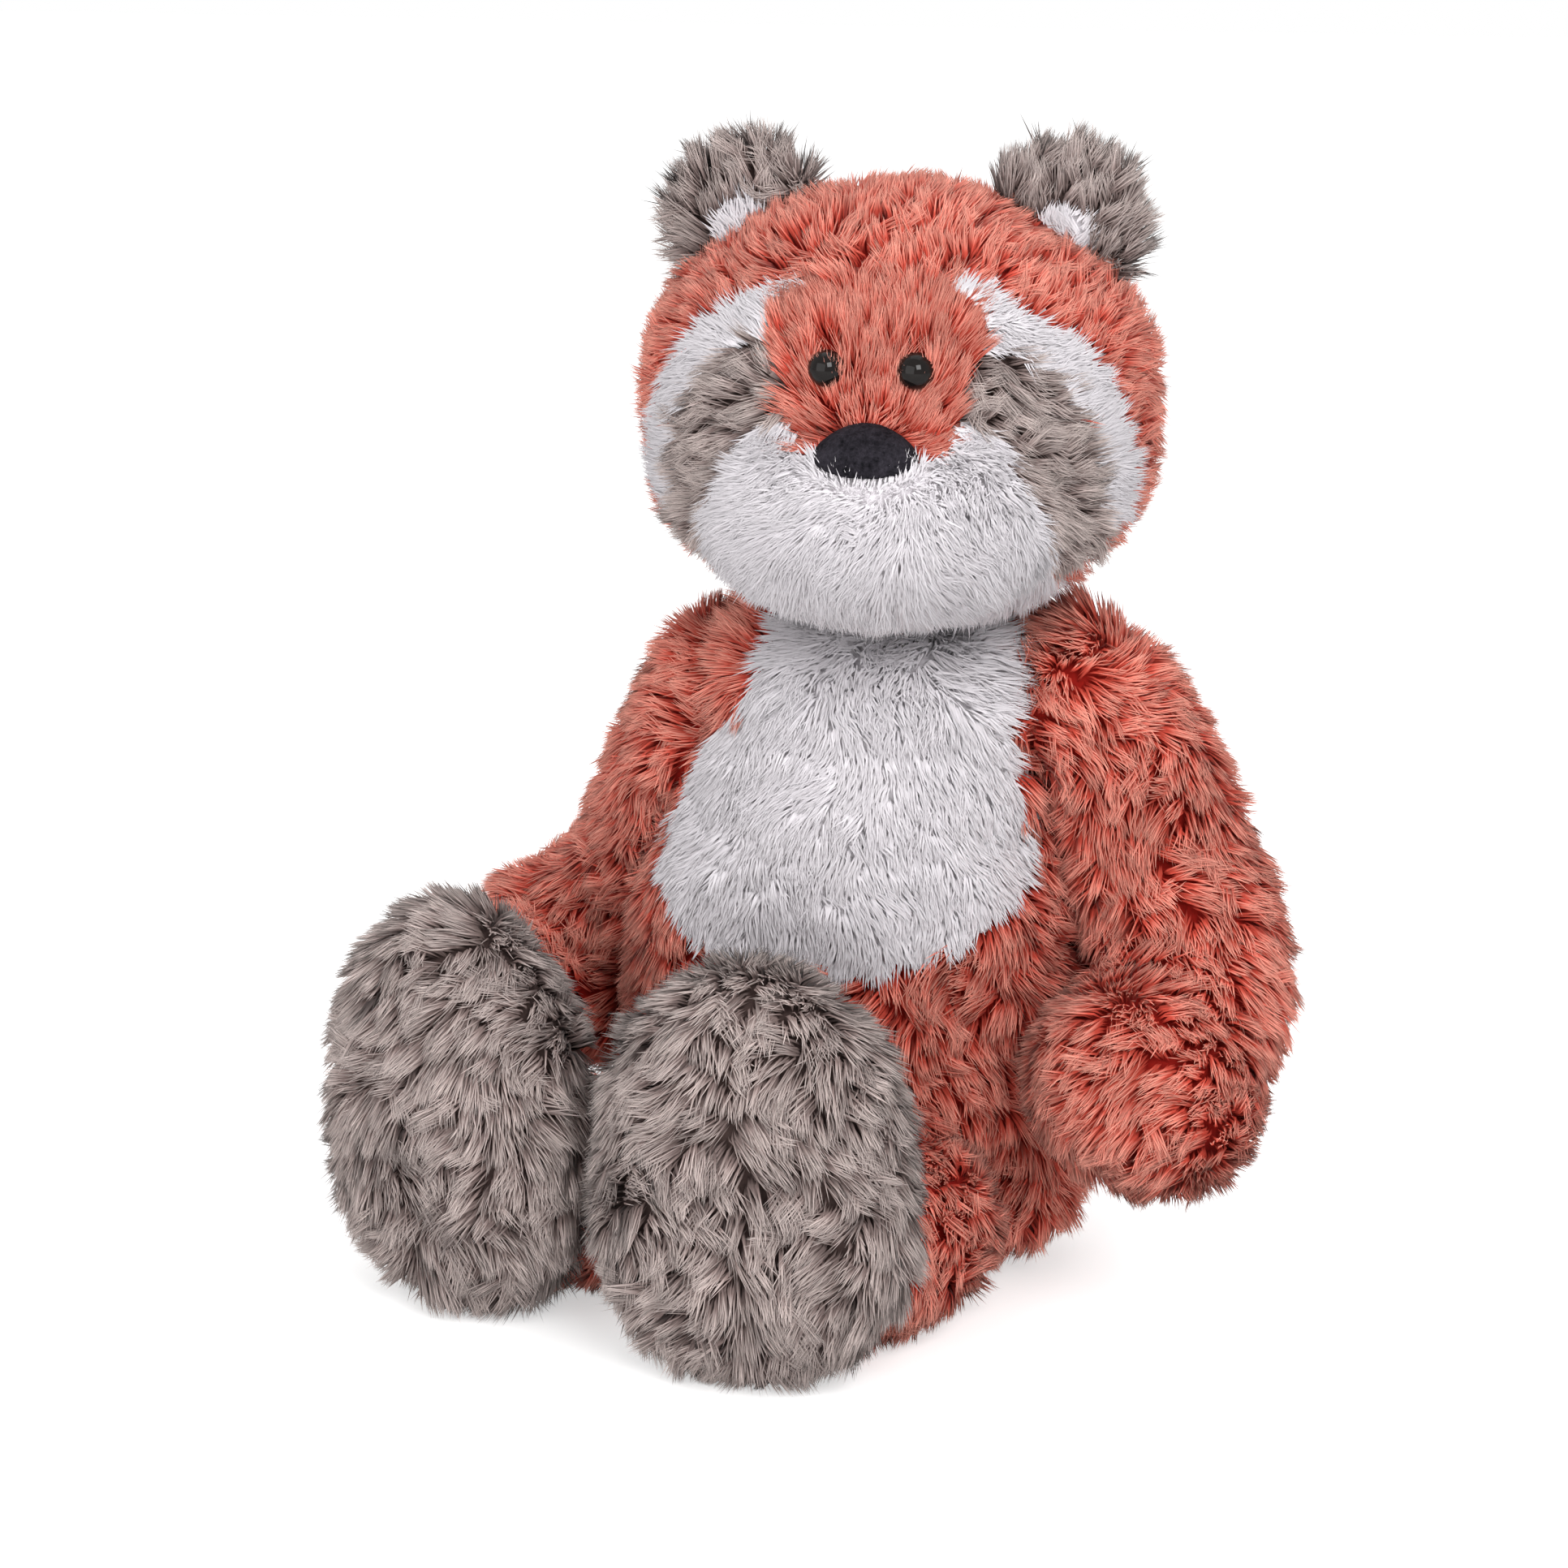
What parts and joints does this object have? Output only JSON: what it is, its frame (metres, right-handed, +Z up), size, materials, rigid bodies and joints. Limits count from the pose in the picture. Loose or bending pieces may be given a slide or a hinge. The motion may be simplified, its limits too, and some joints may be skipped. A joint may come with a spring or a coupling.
{
  "type": "plush raccoon",
  "caption": "Seated plush raccoon in rust, grey and white long-pile fur, with a head that turns and nods and soft arms, legs and a banded tail that swing.",
  "frame": {"origin": "middle of the flat of the seat, on the floor", "axes": "+Z up, -Y the way the body faces, +X the toy's own left"},
  "size_m": [0.2509, 0.2468, 0.2995],
  "materials": {
    "rust_fur": "long pile fur, rust red",
    "grey_fur": "long pile fur, warm grey",
    "white_fur": "short soft pile, white",
    "nose_felt": "felt, dark navy",
    "eye_plastic": "glossy black",
    "washer_plastic": "moulded",
    "stuffing": "loose polyester fibre",
    "pellets": "small round pellets"
  },
  "bodies": {
    "torso": {"torso_skin": "rust_fur", "tummy_panel": "white_fur", "torso_filling": "stuffing", "bean_pouch": "pellets"},
    "neck": {"neck_filling": "stuffing"},
    "head": {"muzzle": "white_fur", "face_gusset": "rust_fur", "brow_patch_left": "white_fur", "cheek_patch_left": "grey_fur", "brow_patch_right": "white_fur", "cheek_patch_right": "grey_fur", "head_crown": "rust_fur", "head_filling": "stuffing", "eye_left": "eye_plastic", "eye_washer_left": "washer_plastic", "eye_right": "eye_plastic", "eye_washer_right": "washer_plastic", "nose": "nose_felt", "ear_left": "grey_fur", "ear_lining_left": "white_fur", "ear_right": "grey_fur", "ear_lining_right": "white_fur"},
    "arm_left": {"arm_left": "rust_fur", "arm_filling_left": "stuffing"},
    "arm_right": {"arm_right": "rust_fur", "arm_filling_right": "stuffing"},
    "leg_left": {"leg_left": "rust_fur", "leg_filling_left": "stuffing", "foot_left": "grey_fur", "foot_filling_left": "stuffing", "foot_pellets_left": "pellets"},
    "leg_right": {"leg_right": "rust_fur", "leg_filling_right": "stuffing", "foot_right": "grey_fur", "foot_filling_right": "stuffing", "foot_pellets_right": "pellets"},
    "tail": {"tail_band_1": "rust_fur", "tail_band_2": "grey_fur", "tail_band_3": "rust_fur", "tail_band_4": "grey_fur", "tail_filling": "stuffing"}
  },
  "joints": [
    {"name": "head_turn", "type": "hinge", "parent": "torso", "child": "neck", "pos_m": [0.01, -0.023, 0.182], "axis": [0, 0, 1], "range_deg": [-35, 35], "stiffness_Nm_per_rad": 0.5},
    {"name": "head_nod", "type": "hinge", "parent": "neck", "child": "head", "pos_m": [0.01, -0.023, 0.182], "axis": [1, 0, 0], "range_deg": [-12, 8], "stiffness_Nm_per_rad": 0.6},
    {"name": "arm_left_swing", "type": "hinge", "parent": "torso", "child": "arm_left", "pos_m": [0.05004, -0.01805, 0.163], "axis": [-0.8574, -0.3689, 0.3589], "range_deg": [0, 100], "stiffness_Nm_per_rad": 0.2},
    {"name": "arm_right_swing", "type": "hinge", "parent": "torso", "child": "arm_right", "pos_m": [-0.03092, -0.0098, 0.15955], "axis": [-0.3987, 0.9171, 0], "range_deg": [0, 100], "stiffness_Nm_per_rad": 0.2},
    {"name": "leg_left_swing", "type": "hinge", "parent": "torso", "child": "leg_left", "pos_m": [0.03172, -0.02814, 0.028], "axis": [-0.7431, 0.6691, 0], "range_deg": [-55, 5], "stiffness_Nm_per_rad": 0.15},
    {"name": "leg_right_swing", "type": "hinge", "parent": "torso", "child": "leg_right", "pos_m": [-0.04209, -0.02016, 0.028], "axis": [-0.7431, 0.6691, 0], "range_deg": [-55, 5], "stiffness_Nm_per_rad": 0.15},
    {"name": "tail_swing", "type": "hinge", "parent": "torso", "child": "tail", "pos_m": [-0.00391, 0.03906, 0.023], "axis": [0, 0, 1], "range_deg": [-20, 20], "stiffness_Nm_per_rad": 0.05}
  ]
}
